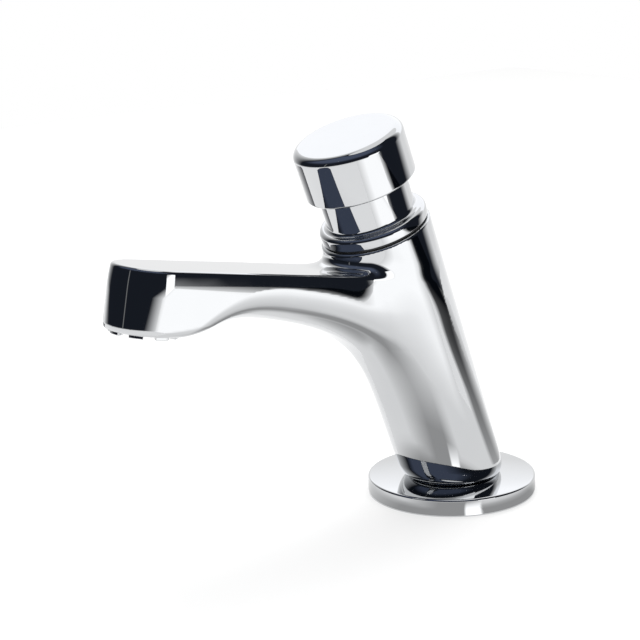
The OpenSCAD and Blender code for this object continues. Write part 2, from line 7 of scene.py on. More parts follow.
import bpy
import numpy as np
from mathutils import Matrix, Vector


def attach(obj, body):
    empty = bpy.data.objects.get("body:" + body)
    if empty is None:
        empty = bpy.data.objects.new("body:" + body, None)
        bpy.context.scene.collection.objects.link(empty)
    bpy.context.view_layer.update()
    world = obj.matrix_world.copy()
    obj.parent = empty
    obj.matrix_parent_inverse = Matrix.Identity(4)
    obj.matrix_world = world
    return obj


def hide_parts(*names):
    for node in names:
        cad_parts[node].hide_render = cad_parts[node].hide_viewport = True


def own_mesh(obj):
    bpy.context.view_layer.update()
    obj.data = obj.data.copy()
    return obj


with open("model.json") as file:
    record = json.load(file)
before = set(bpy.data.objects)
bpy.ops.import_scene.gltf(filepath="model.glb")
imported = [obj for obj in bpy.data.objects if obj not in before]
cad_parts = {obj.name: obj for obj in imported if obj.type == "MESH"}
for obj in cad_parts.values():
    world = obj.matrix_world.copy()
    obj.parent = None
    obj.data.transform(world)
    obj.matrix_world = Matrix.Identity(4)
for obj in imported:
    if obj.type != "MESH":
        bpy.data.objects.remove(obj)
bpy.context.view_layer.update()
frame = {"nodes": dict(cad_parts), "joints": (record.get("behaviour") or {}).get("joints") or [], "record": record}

scene = bpy.context.scene

# Sizes of the tap in millimetres, as in the part's source, with the rounding of the edges
MM = 0.001
FIT = 0.05
CLEAR = 0.3
CUT_OVER = 3.0

# Flange and its gasket
FLANGE_R = 30.0
FLANGE_T = 6.2
FLANGE_EDGE_R = 0.8
FLANGE_FOOT_R = 0.3
GASKET_R = 26.0
GASKET_BORE_R = 18.0
GASKET_T = 2.4
GASKET_EDGE_R = 0.4

# Shank, washers and nut below the deck
SHANK_R = 10.4775
SHANK_BORE_R = 7.0
SHANK_BELOW = 50.0
SHANK_SOCKET = 13.0
HOSE_THREAD_L = 16.0
RELIEF_W = 2.0
RELIEF_DEPTH = 1.2
THREAD_PITCH = 1.814
THREAD_DEPTH = 1.16
THREAD_START = 1.2
RIDGE_SLOPE = 1.25
RIDGE_STEPS = 6
DECK_T = 18.0
WASHER_R = 22.0
DECK_WASHER_T = 2.5
DECK_WASHER_EDGE_R = 0.5
METAL_WASHER_T = 1.5
METAL_WASHER_EDGE_R = 0.2
BACKNUT_AF = 30.0
BACKNUT_T = 8.0
BACKNUT_CHAMFER = 0.8
BACKNUT_CORNER_TURN = math.radians(30.0)
BACKNUT_CORNER_DROP = 0.05

# Column with its chamber, and the bonnet on its seat
COLUMN_FOOT_R = 17.9
COLUMN_TOP_R = 19.0
COLUMN_SET_BACK = 1.0
SEAT_H = 100.2
CHAMBER_R = 13.0
CHAMBER_DEPTH = 66.0
PASSAGE_R = 6.5
PASSAGE_FOOT = 6.5
NECK_R = 15.3
NECK_HEAD = 124.0
NECK_EDGE_R = 0.4
BEAD_R = 18.6
BEAD_H = 4.2
BEAD_FILLET_R = 1.5
BEAD_FOOT_R = 0.5
BONNET_GASKET_T = 0.8
BONNET_GASKET_R = 17.9
BONNET_GASKET_EDGE_R = 0.3
BONNET_THREAD_R = 14.5
BONNET_THREAD_L = 14.0
LIP_R = 9.0
LIP_FOOT = 115.2
LIP_T = 2.5

# Push cap
CAP_R = 19.0
CAP_BORE_R = 17.0
CAP_H = 17.6
CAP_TOP_T = 3.4
CAP_EDGE_R = 3.0
CAP_RIM_R = 0.9
CAP_MOUTH_CHAMFER = 0.4
CAP_LIFT = 17.0
CAP_CENTRE_R = 0.01
CAP_TOP_RINGS = 12
SOCKET_R = 8.05
SOCKET_WALL = 1.5
SOCKET_L = 4.0

# Nose and aerator
NOSE_REACH = 121.6
NOSE_HEIGHT = 101.6
NOSE_DEPTH = 20.7
NOSE_TOP_R = 13.8
NOSE_LOW_R = 13.2
NOSE_LEAN = 0.8
AERATOR_R = 11.0
AERATOR_INNER_R = 9.3
AERATOR_LIP_R = 8.3
AERATOR_L = 8.5
AERATOR_PROUD = 1.0
AERATOR_EDGE = 0.2
AERATOR_BORE_L = 10.5
AERATOR_S = 1.3
NOTCHES = 8
NOTCH_W = 4.0
NOTCH_OVER = 1.0
SETTLING_R = 8.8
SETTLING_L = 6.2

# Return spring
SPRING_R = 7.5
SPRING_WIRE_R = 0.7
SPRING_L = 20.0
SPRING_TURNS = 6
SPRING_CLOSED = 0.5
SPRING_FOOT = 36.2

# The column's axis comes from the push joint, and the spout rises by its own angle
push_axis = Vector(frame["joints"][0]["axis"])
TILT = math.atan2(push_axis.y, -push_axis.z)
RISE = math.radians(10.3)
DECK_PLACE = Matrix.Identity(4)
AXIS_PLACE = Matrix.Translation((0, COLUMN_SET_BACK, FLANGE_T)) @ Matrix.Rotation(TILT, 4, "X")
NOSE_PLACE = Matrix.Translation((0, -NOSE_REACH, NOSE_HEIGHT)) @ Matrix.Rotation(-RISE, 4, "X")
AERATOR_PLACE = NOSE_PLACE @ Matrix.Translation((0, -AERATOR_S, -NOSE_DEPTH))


# Shader maths
class Tone:
    """A socket in a node tree, with arithmetic that adds the Math nodes it needs."""

    def __init__(self, tree, socket):
        self.tree = tree
        self.socket = socket

    def add(self, kind, settings=None, out=0, **inputs):
        """A new node of that kind, set up and linked, as a Tone of one of its outputs.

        Inputs go by name, with _ for a space, or by number, as in i0."""
        made = self.tree.nodes.new(kind)
        for name, value in (settings or {}).items():
            setattr(made, name, value)
        for name, value in inputs.items():
            key = int(name[1:]) if name[1:].isdigit() else name.replace("_", " ")
            feed(self.tree, made.inputs[key], value)
        return Tone(self.tree, made.outputs[out])

    def maths(self, operation, first, second):
        return self.add("ShaderNodeMath", {"operation": operation}, i0=first, i1=second)

    def __add__(self, other):
        return self.maths("ADD", self, other)

    def __radd__(self, other):
        return self.maths("ADD", other, self)

    def __sub__(self, other):
        return self.maths("SUBTRACT", self, other)

    def __rsub__(self, other):
        return self.maths("SUBTRACT", other, self)

    def __mul__(self, other):
        return self.maths("MULTIPLY", self, other)

    def __rmul__(self, other):
        return self.maths("MULTIPLY", other, self)


def feed(tree, socket, value):
    """Links a Tone to a socket, or sets the socket's own value."""
    if isinstance(value, Tone):
        tree.links.new(value.socket, socket)
    else:
        socket.default_value = value


def bare_material(name):
    """A material with nothing but an output, as (material, node tree, output's surface)."""
    material = bpy.data.materials.new(name)
    material.use_nodes = True
    tree = material.node_tree
    tree.nodes.clear()
    output = tree.nodes.new("ShaderNodeOutputMaterial")
    return material, tree, output.inputs["Surface"]


def new_finish(name):
    """A material with a Principled shader, and a Tone of the object's coordinates to build on."""
    material, tree, surface = bare_material(name)
    shader = tree.nodes.new("ShaderNodeBsdfPrincipled")
    tree.links.new(shader.outputs[0], surface)
    place = tree.nodes.new("ShaderNodeTexCoord")
    return material, shader, Tone(tree, place.outputs["Object"])


def set_finish(place, shader, **inputs):
    """Gives the shader's sockets their values or links."""
    for name, value in inputs.items():
        feed(place.tree, shader.inputs[name.replace("_", " ")], value)


def noise(place, scale, detail=2.0):
    return place.add("ShaderNodeTexNoise", Vector=place, Scale=scale, Detail=detail)


def mix_colour(factor, dark, light):
    """A colour between two, which are given as red, green and blue."""
    settings = {"data_type": "RGBA"}
    return factor.add("ShaderNodeMix", settings, out=2, i0=factor, i6=(*dark, 1.0), i7=(*light, 1.0))


def bump(height, strength, distance):
    return height.add("ShaderNodeBump", Height=height, Strength=strength, Distance=distance)


# Finishes
def chrome_finish():
    """Polished chrome plate: even and bright, with a trace of polishing haze and fine wipe marks."""
    material, shader, place = new_finish("polished_chrome")
    haze = noise(place, 60.0, 3.0)
    wipes = noise(place.add("ShaderNodeMapping", Vector=place, Scale=(900.0, 900.0, 60.0)), 1.0)
    waviness = noise(place, 45.0, 1.0)
    set_finish(
        place, shader,
        Base_Color=mix_colour(haze, (0.60, 0.61, 0.622), (0.63, 0.64, 0.652)),
        Metallic=1.0,
        Roughness=0.018 + haze * 0.02 + wipes * 0.012,
        Normal=bump(waviness, 0.04, 0.0004),
    )
    return material


def brass_finish():
    """Turned brass, a little dulled."""
    material, shader, place = new_finish("turned_brass")
    tarnish = noise(place, 140.0, 4.0)
    rings = place.add(
        "ShaderNodeTexWave", {"bands_direction": "Z"}, out=1, Vector=place, Scale=900.0, Distortion=1.0
    )
    set_finish(
        place, shader,
        Base_Color=mix_colour(tarnish, (0.60, 0.42, 0.17), (0.80, 0.62, 0.32)),
        Metallic=1.0,
        Roughness=0.22 + tarnish * 0.16,
        Normal=bump(rings, 0.08, 0.0001),
    )
    return material


def steel_finish():
    """Stainless steel with fine grain."""
    material, shader, place = new_finish("stainless_steel")
    grain = noise(place, 500.0, 3.0)
    patches = noise(place, 90.0)
    set_finish(
        place, shader,
        Base_Color=mix_colour(patches, (0.52, 0.52, 0.53), (0.66, 0.66, 0.67)),
        Metallic=1.0,
        Roughness=0.22 + grain * 0.14,
        Normal=bump(grain, 0.06, 0.0001),
    )
    return material


def rubber_finish():
    """Black nitrile rubber with a faint bloom."""
    material, shader, place = new_finish("black_rubber")
    bloom = noise(place, 220.0, 4.0)
    grain = noise(place, 1500.0)
    set_finish(
        place, shader,
        Base_Color=mix_colour(bloom, (0.016, 0.016, 0.017), (0.045, 0.045, 0.046)),
        Roughness=0.55 + bloom * 0.2,
        Normal=bump(grain, 0.15, 0.0001),
    )
    return material


def plastic_finish(name, dark, light):
    """Moulded plastic with a fine texture."""
    material, shader, place = new_finish(name)
    cloud = noise(place, 160.0, 3.0)
    grain = noise(place, 1800.0)
    set_finish(
        place, shader,
        Base_Color=mix_colour(cloud, dark, light),
        Roughness=0.38 + cloud * 0.14,
        Normal=bump(grain, 0.1, 0.0001),
    )
    return material


FINISHES = {
    "chrome": chrome_finish(),
    "brass": brass_finish(),
    "steel": steel_finish(),
    "rubber": rubber_finish(),
    "white_plastic": plastic_finish("white_acetal", (0.74, 0.74, 0.72), (0.84, 0.84, 0.82)),
    "cartridge_plastic": plastic_finish("cartridge_plastic", (0.44, 0.39, 0.30), (0.58, 0.53, 0.43)),
}


# Meshes
def arc(centre, radius, start, end, steps=10):
    """Points on an arc, with its angles in degrees."""
    angles = np.radians(np.linspace(start, end, steps + 1))
    return [(centre[0] + radius * math.cos(a), centre[1] + radius * math.sin(a)) for a in angles]


def new_piece(name, points, faces, place=DECK_PLACE, smooth_angle=35.0):
    """An object from points in millimetres, smooth but for edges sharper than the angle."""
    mesh = bpy.data.meshes.new(name)
    mesh.from_pydata([tuple(place @ Vector(p) * MM) for p in points], [], faces)
    mesh.validate()
    mesh.shade_smooth()
    mesh.set_sharp_from_angle(angle=math.radians(smooth_angle))
    piece = bpy.data.objects.new(name, mesh)
    scene.collection.objects.link(piece)
    return piece


def turned(name, profile, place, steps=192, smooth_angle=35.0):
    """A closed profile of (radius, height) points, counter-clockwise, turned about the Z of its place.

    The profile may be a function of the angle, for the thread and the nut."""
    angles = np.linspace(0.0, 2.0 * math.pi, steps, endpoint=False)
    rings = [profile(a) if callable(profile) else profile for a in angles]
    count = len(rings[0])
    points = [(r * math.cos(a), r * math.sin(a), h) for a, ring in zip(angles, rings) for r, h in ring]
    faces = []
    for i, j in itertools.product(range(steps), range(count)):
        k, m = (i + 1) % steps, (j + 1) % count
        faces.append((i * count + j, k * count + j, k * count + m, i * count + m))
    return new_piece(name, points, faces, place, smooth_angle)


def rod(name, radius, foot, head, place, steps=96):
    """A plain cylinder to cut with."""
    angles = np.linspace(0.0, 2.0 * math.pi, steps, endpoint=False)
    low = [(radius * math.cos(a), radius * math.sin(a), foot) for a in angles]
    high = [(radius * math.cos(a), radius * math.sin(a), head) for a in angles]
    faces = [(i, (i + 1) % steps, steps + (i + 1) % steps, steps + i) for i in range(steps)]
    faces += [tuple(range(steps))[::-1], tuple(range(steps, 2 * steps))]
    return new_piece(name, low + high, faces, place)


def box(name, low, high, place):
    """A plain box to cut with."""
    corners = list(itertools.product(*zip(low, high)))
    faces = [(0, 1, 3, 2), (4, 6, 7, 5), (0, 4, 5, 1), (2, 3, 7, 6), (0, 2, 6, 4), (1, 5, 7, 3)]
    return new_piece(name, corners, faces, place)


def cut_off(piece, *cutters):
    """Takes the cutters off a piece, and deletes them."""
    for cutter in cutters:
        modifier = piece.modifiers.new(cutter.name, "BOOLEAN")
        modifier.operation = "DIFFERENCE"
        modifier.solver = "EXACT"
        modifier.object = cutter
    bpy.context.view_layer.update()
    made = bpy.data.meshes.new_from_object(piece.evaluated_get(bpy.context.evaluated_depsgraph_get()))
    piece.modifiers.clear()
    old = piece.data
    piece.data = made
    made.name = piece.name
    bpy.data.meshes.remove(old)
    for cutter in cutters:
        bpy.data.objects.remove(cutter)


def finish_piece(piece, body, slot, *nodes):
    """Gives a piece its finish, body and the solids that it stands for."""
    piece.data.materials.clear()
    piece.data.materials.append(FINISHES[slot])
    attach(piece, body)
    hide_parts(*nodes)


# Casting: column and spout from one field in millimetres that is negative inside

# A span holds the places along the spout, or under its top, between which a value changes
SEAT_EDGE_R = 0.7
FOOT_TUCK = 3.0
TUCK_SLOPE = 0.5
SPOUT_FLARE = 0.02
ROOT_TAPER = 3.0
ROOT_FRONT = 16.0
TOP_EDGE_R = 1.0
CROWN = 0.0091
CROWN_DEPTH = 8.2
ROOT_CROWN_DEPTH = 13.0
ROOT_CROWN_SPAN = (-55.0, -92.0)
ARCH_SIZE = 19.2
ARCH_DEPTH = 10.0
ARCH_SLOPE = 0.04
ARCH_FRONT = 6.0
COLLAR_BACK = 12.5
COLLAR_RISE = math.radians(30.0)
COLLAR_BLEND = 10.0
HEEL_R = 4.0
NOSE_EDGE_R = 1.6
ARCH_EDGE_R = 9.0
EDGE_SPAN = (5.0, -45.0)
BEVEL_TURN = math.radians(36.0)
BEVEL_SIDE_SHARE = 0.35
BEVEL_LOW_SHARE = 0.6
TOP_BLEND = 12.0
SIDE_BLEND = 10.0
SIDE_SPAN = (-2.0, -18.0)
LOW_BLEND = 8.0
LOW_SPAN = (-25.0, -55.0)

# Grid for the casting's skin, in the spout's own directions from the top of the nose
SKIN_LOW = (-21.05, -18.05, -80.05)
SKIN_HIGH = (21.05, 161.0, 27.0)
SKIN_CELL = 0.6


def soft_min(a, b, width):
    """The lesser of two fields, with a fillet where they are within the width of each other."""
    share = np.maximum(width - np.abs(a - b), 0.0) / width
    return np.minimum(a, b) - share**3 * width / 6.0


def round_max(a, b, radius):
    """The greater of two fields, with the edge between them rounded."""
    outside = np.hypot(np.maximum(a + radius, 0.0), np.maximum(b + radius, 0.0))
    return np.minimum(np.maximum(a, b), -radius) + outside


def ease(start, end, value):
    """Nought before the start and one past the end, with a smooth change between."""
    share = np.clip((value - start) / (end - start), 0.0, 1.0)
    return share * share * (3.0 - 2.0 * share)


def casting_field(points):
    """Column, spout and the fillet between them."""
    x, y, z = points[..., 0], points[..., 1], points[..., 2]

    # Column: tapered, tucked in at the foot, with a rounded edge at the seat
    back, up = y - COLUMN_SET_BACK, z - FLANGE_T
    along = math.cos(TILT) * up - math.sin(TILT) * back
    front = -math.cos(TILT) * back - math.sin(TILT) * up
    side = np.hypot(x, front) - COLUMN_FOOT_R - (COLUMN_TOP_R - COLUMN_FOOT_R) * along / SEAT_H
    column = round_max(side, -TUCK_SLOPE * up, FOOT_TUCK)
    column = round_max(column, along - SEAT_H, SEAT_EDGE_R)

    # Spout from above: a round nose and flaring sides that lean in towards the flat top
    py, pz = y + NOSE_REACH, z - NOSE_HEIGHT
    ahead = math.sin(RISE) * pz - math.cos(RISE) * py
    over = math.sin(RISE) * py + math.cos(RISE) * pz
    share = np.clip(-over / NOSE_DEPTH, 0.0, 1.2)
    centred = ahead - NOSE_LEAN * share
    nose = np.hypot(x, np.maximum(centred, 0.0)) - NOSE_TOP_R - (NOSE_LOW_R - NOSE_TOP_R) * share
    plan = nose - SPOUT_FLARE * np.maximum(-centred, 0.0) + ROOT_TAPER * ease(ROOT_FRONT, 0.0, front)
    crown = CROWN_DEPTH + (ROOT_CROWN_DEPTH - CROWN_DEPTH) * ease(*ROOT_CROWN_SPAN, ahead)
    plan = plan + CROWN * np.maximum(over + crown, 0.0) ** 2
    arm = round_max(plan, over, TOP_EDGE_R)

    # Spout from below: the arch towards the column, and the flat underside of the nose with its heel
    below = -ARCH_DEPTH - over - ARCH_SLOPE * ahead
    beyond = np.maximum(np.hypot(x, np.maximum(front, 0.0)) - ARCH_FRONT, 0.0)
    arch = (below * beyond - ARCH_SIZE**2) / np.sqrt(below**2 + beyond**2 + ARCH_SIZE**2)
    heel = math.sin(COLLAR_RISE) * (-centred - COLLAR_BACK) - math.cos(COLLAR_RISE) * (over + NOSE_DEPTH)
    collar = round_max(-over - NOSE_DEPTH, heel, HEEL_R)
    under = soft_min(arch, collar, COLLAR_BLEND)

    # Bevel along the lower edges, wider towards the arch
    edge = NOSE_EDGE_R + (ARCH_EDGE_R - NOSE_EDGE_R) * ease(*EDGE_SPAN, ahead)
    bevel = math.cos(BEVEL_TURN) * (arm + edge) + math.sin(BEVEL_TURN) * (under + edge) - edge
    spout = round_max(round_max(arm, bevel, BEVEL_SIDE_SHARE * edge), under, BEVEL_LOW_SHARE * edge)
    spout = np.maximum(spout, -front)

    # Fillet between the two, and the flat foot on the flange
    width = TOP_BLEND + (SIDE_BLEND - TOP_BLEND) * ease(*SIDE_SPAN, over)
    width = width + (LOW_BLEND - width) * ease(*LOW_SPAN, over)
    return np.maximum(soft_min(column, spout, width), -up)


def field_slope(field, points, step=0.02):
    """Gradient of a field by central differences."""
    slope = np.empty_like(points)
    for axis in range(3):
        shift = np.zeros(3)
        shift[axis] = step
        slope[..., axis] = (field(points + shift) - field(points - shift)) / (2.0 * step)
    return slope


def field_skin(field, low, high, cell):
    """Points and quads of the skin where a field is zero: one point in each grid cell that it crosses."""
    axes = [np.arange(a, b + cell, cell) for a, b in zip(low, high)]
    value = field(np.stack(np.meshgrid(*axes, indexing="ij"), -1))
    inside = value < 0.0
    cells = tuple(n - 1 for n in value.shape)
    total = np.zeros(cells + (3,))
    crossings = np.zeros(cells)
    edges = []
    for axis in range(3):
        near = [slice(None)] * 3
        far = [slice(None)] * 3
        near[axis], far[axis] = slice(0, -1), slice(1, None)
        near, far = tuple(near), tuple(far)
        at = np.argwhere(inside[near] != inside[far])
        first, second = value[near][tuple(at.T)], value[far][tuple(at.T)]
        place = at.astype(float)
        place[:, axis] += first / (first - second)
        others = [i for i in range(3) if i != axis]
        around = []
        for shift in ((0, 0), (1, 0), (1, 1), (0, 1)):
            cell_at = at.copy()
            cell_at[:, others] -= shift
            np.add.at(total, tuple(cell_at.T), place)
            np.add.at(crossings, tuple(cell_at.T), 1.0)
            around.append(cell_at)
        flip = (first < 0.0) == (axis == 1)
        edges.append((around, flip))
    used = crossings > 0.0
    number = np.full(cells, -1)
    number[used] = np.arange(used.sum())
    points = np.array(low) + cell * total[used] / crossings[used][:, None]
    for _ in range(4):
        slope = field_slope(field, points)
        points -= slope * (field(points) / np.maximum((slope**2).sum(-1), 1e-9))[:, None]
    quads = []
    for around, flip in edges:
        corners = np.stack([number[tuple(c.T)] for c in around], -1)
        corners[flip] = corners[flip][:, ::-1]
        quads.append(corners)
    return points, np.concatenate(quads)


def field_shading(piece, field, agreement=0.8):
    """Takes a piece's normals from the field, but for faces that were cut, which keep their own."""
    mesh = piece.data
    mesh.shade_smooth()
    places = np.empty(len(mesh.vertices) * 3, np.float32)
    mesh.vertices.foreach_get("co", places)
    slope = field_slope(field, places.reshape(-1, 3).astype(float) / MM)
    slope /= np.maximum(np.linalg.norm(slope, axis=1), 1e-9)[:, None]
    corner_point = np.empty(len(mesh.loops), np.int32)
    mesh.loops.foreach_get("vertex_index", corner_point)
    sizes = np.empty(len(mesh.polygons), np.int32)
    mesh.polygons.foreach_get("loop_total", sizes)
    flat = np.empty(len(mesh.polygons) * 3, np.float32)
    mesh.polygons.foreach_get("normal", flat)
    flat = np.repeat(flat.reshape(-1, 3), sizes, axis=0)
    smooth = slope[corner_point]
    agrees = (flat * smooth).sum(-1) > agreement
    mesh.normals_split_custom_set(np.where(agrees[:, None], smooth, flat).tolist())


def body_casting():
    """Column and spout in one skin, with the bores for the cartridge, the shank and the aerator."""
    turn = np.array(NOSE_PLACE.to_3x3())
    shift = np.array(NOSE_PLACE.translation)

    def spout_field(points):
        return casting_field(points @ turn.T + shift)

    points, quads = field_skin(spout_field, SKIN_LOW, SKIN_HIGH, SKIN_CELL)
    piece = new_piece("body_skin", points @ turn.T + shift, quads.tolist())
    floor = SEAT_H - CHAMBER_DEPTH
    thread_foot = SEAT_H - BONNET_THREAD_L - CLEAR
    cut_off(
        piece,
        rod("chamber_cut", CHAMBER_R, floor, SEAT_H + CUT_OVER, AXIS_PLACE),
        rod("thread_cut", BONNET_THREAD_R, thread_foot, SEAT_H + CUT_OVER, AXIS_PLACE),
        rod("socket_cut", SHANK_R + FIT, FLANGE_T - CUT_OVER, FLANGE_T + SHANK_SOCKET, DECK_PLACE),
        rod("passage_cut", PASSAGE_R, PASSAGE_FOOT, floor + CUT_OVER, AXIS_PLACE),
        rod("aerator_cut", AERATOR_R + FIT, -CUT_OVER, AERATOR_BORE_L, AERATOR_PLACE),
        rod("settling_cut", SETTLING_R, 0.0, AERATOR_BORE_L + SETTLING_L, AERATOR_PLACE),
    )
    field_shading(piece, casting_field)
    finish_piece(piece, "tap", "chrome", "body_casting")


# Turned pieces
def base_flange():
    """Flange with the groove for its gasket."""
    profile = [(SHANK_R + CLEAR, 0.0), (GASKET_BORE_R - FIT, 0.0), (GASKET_BORE_R - FIT, GASKET_T)]
    profile += [(GASKET_R + FIT, GASKET_T), (GASKET_R + FIT, 0.0)]
    profile += arc((FLANGE_R - FLANGE_FOOT_R, FLANGE_FOOT_R), FLANGE_FOOT_R, -90, 0, 4)
    profile += arc((FLANGE_R - FLANGE_EDGE_R, FLANGE_T - FLANGE_EDGE_R), FLANGE_EDGE_R, 0, 90, 8)
    profile += [(SHANK_R + CLEAR, FLANGE_T)]
    finish_piece(turned("flange_plate", profile, DECK_PLACE, 256), "tap", "chrome", "base_flange")


def base_gasket():
    r = GASKET_EDGE_R
    profile = arc((GASKET_BORE_R + r, r), r, 180, 270, 4) + arc((GASKET_R - r, r), r, 270, 360, 4)
    profile += [(GASKET_R, GASKET_T), (GASKET_BORE_R, GASKET_T)]
    finish_piece(turned("flange_gasket", profile, DECK_PLACE), "tap", "rubber", "base_gasket")


def bonnet():
    """Neck and bead on a threaded skirt, with a lip inside that holds the cartridge down."""
    foot = SEAT_H + BONNET_GASKET_T
    head = foot + BEAD_H
    top_r = BEAD_R - NECK_R - BEAD_FILLET_R
    thread_r = BONNET_THREAD_R - FIT
    thread_foot = SEAT_H - BONNET_THREAD_L
    profile = [(CHAMBER_R, thread_foot), (thread_r, thread_foot), (thread_r, foot)]
    profile += arc((BEAD_R - BEAD_FOOT_R, foot + BEAD_FOOT_R), BEAD_FOOT_R, -90, 0, 6)
    profile += arc((BEAD_R - top_r, head - top_r), top_r, 0, 90, 14)
    profile += arc((NECK_R + BEAD_FILLET_R, head + BEAD_FILLET_R), BEAD_FILLET_R, 270, 180, 12)[1:]
    profile += arc((NECK_R - NECK_EDGE_R, NECK_HEAD - NECK_EDGE_R), NECK_EDGE_R, 0, 90, 4)
    profile += [(CHAMBER_R, NECK_HEAD), (CHAMBER_R, LIP_FOOT + LIP_T), (LIP_R, LIP_FOOT + LIP_T)]
    profile += [(LIP_R, LIP_FOOT), (CHAMBER_R, LIP_FOOT)]
    finish_piece(turned("bonnet_neck", profile, AXIS_PLACE, 256), "tap", "chrome", "bonnet")


def bonnet_gasket():
    inner = BONNET_THREAD_R + FIT
    r = BONNET_GASKET_EDGE_R
    head = SEAT_H + BONNET_GASKET_T
    profile = [(inner, SEAT_H)] + arc((BONNET_GASKET_R - r, SEAT_H + r), r, -90, 0, 4)
    profile += arc((BONNET_GASKET_R - r, head - r), r, 0, 90, 4) + [(inner, head)]
    finish_piece(turned("bonnet_seal", profile, AXIS_PLACE), "tap", "rubber", "bonnet_gasket")


def push_cap():
    """Cap with a rounded top edge, and a socket inside for its brass insert."""
    foot = SEAT_H + CAP_LIFT
    head = foot + CAP_H
    ceiling = head - CAP_TOP_T
    flat_r = CAP_R - CAP_EDGE_R
    profile = [(CAP_BORE_R, ceiling), (CAP_BORE_R, foot + CAP_MOUTH_CHAMFER)]
    profile += [(CAP_BORE_R + CAP_MOUTH_CHAMFER, foot)]
    profile += arc((CAP_R - CAP_RIM_R, foot + CAP_RIM_R), CAP_RIM_R, -90, 0, 10)
    profile += arc((flat_r, head - CAP_EDGE_R), CAP_EDGE_R, 0, 90, 24)
    profile += [(flat_r * (1 - k / CAP_TOP_RINGS), head) for k in range(1, CAP_TOP_RINGS)]
    profile += [(CAP_CENTRE_R, head), (CAP_CENTRE_R, ceiling)]
    profile += [(SOCKET_R, ceiling), (SOCKET_R, ceiling - SOCKET_L)]
    profile += [(SOCKET_R + SOCKET_WALL, ceiling - SOCKET_L), (SOCKET_R + SOCKET_WALL, ceiling)]
    finish_piece(turned("push_cap_shell", profile, AXIS_PLACE, 256), "plunger", "chrome", "push_cap")


def aerator_housing():
    """Ring under the nose, with notches for a key round its rim."""
    profile = [(AERATOR_LIP_R, -AERATOR_PROUD), (AERATOR_R - AERATOR_EDGE, -AERATOR_PROUD)]
    profile += [(AERATOR_R, AERATOR_EDGE - AERATOR_PROUD), (AERATOR_R, AERATOR_L)]
    profile += [(AERATOR_INNER_R, AERATOR_L), (AERATOR_INNER_R, 0.0), (AERATOR_LIP_R, 0.0)]
    piece = turned("aerator_ring", profile, AERATOR_PLACE)
    low = (AERATOR_LIP_R - NOTCH_OVER, -NOTCH_W / 2.0, -AERATOR_PROUD - NOTCH_OVER)
    high = (AERATOR_R + NOTCH_OVER, NOTCH_W / 2.0, 0.0)
    cutters = []
    for i in range(NOTCHES):
        turn = Matrix.Rotation(2.0 * math.pi * (i + 0.5) / NOTCHES, 4, "Z")
        cutters.append(box(f"notch_cut_{i}", low, high, AERATOR_PLACE @ turn))
    cut_off(piece, *cutters)
    finish_piece(piece, "tap", "chrome", "aerator_housing")


def thread_radius(angle, height):
    """Radius of the pipe thread's skin: ridges that climb once each turn, faded in at the mouth."""
    phase = (height / THREAD_PITCH - angle / (2.0 * math.pi)) % 1.0
    ridge = min(1.0, RIDGE_SLOPE * (1.0 - abs(2.0 * phase - 1.0)))
    start = min(1.0, max(0.0, height / THREAD_START))
    return SHANK_R - THREAD_DEPTH + THREAD_DEPTH * ridge * start


def inlet_shank():
    """Threaded shank, with a plain relief above the hose's length of thread."""
    length = SHANK_BELOW + FLANGE_T + SHANK_SOCKET - CLEAR
    heights = list(np.arange(0.0, length, THREAD_PITCH / RIDGE_STEPS)) + [length]

    def profile(angle):
        ring = []
        for h in heights:
            relief = HOSE_THREAD_L <= h <= HOSE_THREAD_L + RELIEF_W
            ring.append((SHANK_R - RELIEF_DEPTH if relief else thread_radius(angle, h), h))
        return ring + [(SHANK_BORE_R, length), (SHANK_BORE_R, 0.0)]

    place = Matrix.Translation((0, 0, -SHANK_BELOW))
    finish_piece(turned("threaded_shank", profile, place, 72, 50.0), "tap", "brass", "inlet_shank")


def backnut():
    """Hexagon nut with its corners turned off at both faces."""
    flat = BACKNUT_AF / 2.0
    bore_r = SHANK_R + FIT
    mouth_r = bore_r + BACKNUT_CHAMFER

    def profile(angle):
        turn = (angle + math.pi / 6.0) % (math.pi / 3.0) - math.pi / 6.0
        reach = flat / math.cos(turn)
        drop = BACKNUT_CORNER_DROP + (reach - flat) * math.tan(BACKNUT_CORNER_TURN)
        ring = [(mouth_r, 0.0), (flat, 0.0), (reach, drop), (reach, BACKNUT_T - drop)]
        ring += [(flat, BACKNUT_T), (mouth_r, BACKNUT_T)]
        return ring + [(bore_r, BACKNUT_T - BACKNUT_CHAMFER), (bore_r, BACKNUT_CHAMFER)]

    foot = -DECK_T - DECK_WASHER_T - METAL_WASHER_T - BACKNUT_T
    piece = turned("hexagon_nut", profile, Matrix.Translation((0, 0, foot)), 180, 25.0)
    finish_piece(piece, "tap", "brass", "backnut")


def washer(name, slot, node, head, thick, edge_r):
    """A washer on the shank, with its upper face at the head's height."""
    inner = SHANK_R + CLEAR
    foot = head - thick
    profile = arc((inner + edge_r, foot + edge_r), edge_r, 180, 270, 4)
    profile += arc((WASHER_R - edge_r, foot + edge_r), edge_r, 270, 360, 4)
    profile += arc((WASHER_R - edge_r, head - edge_r), edge_r, 0, 90, 4)
    profile += arc((inner + edge_r, head - edge_r), edge_r, 90, 180, 4)
    finish_piece(turned(name, profile, DECK_PLACE, 128), "tap", slot, node)


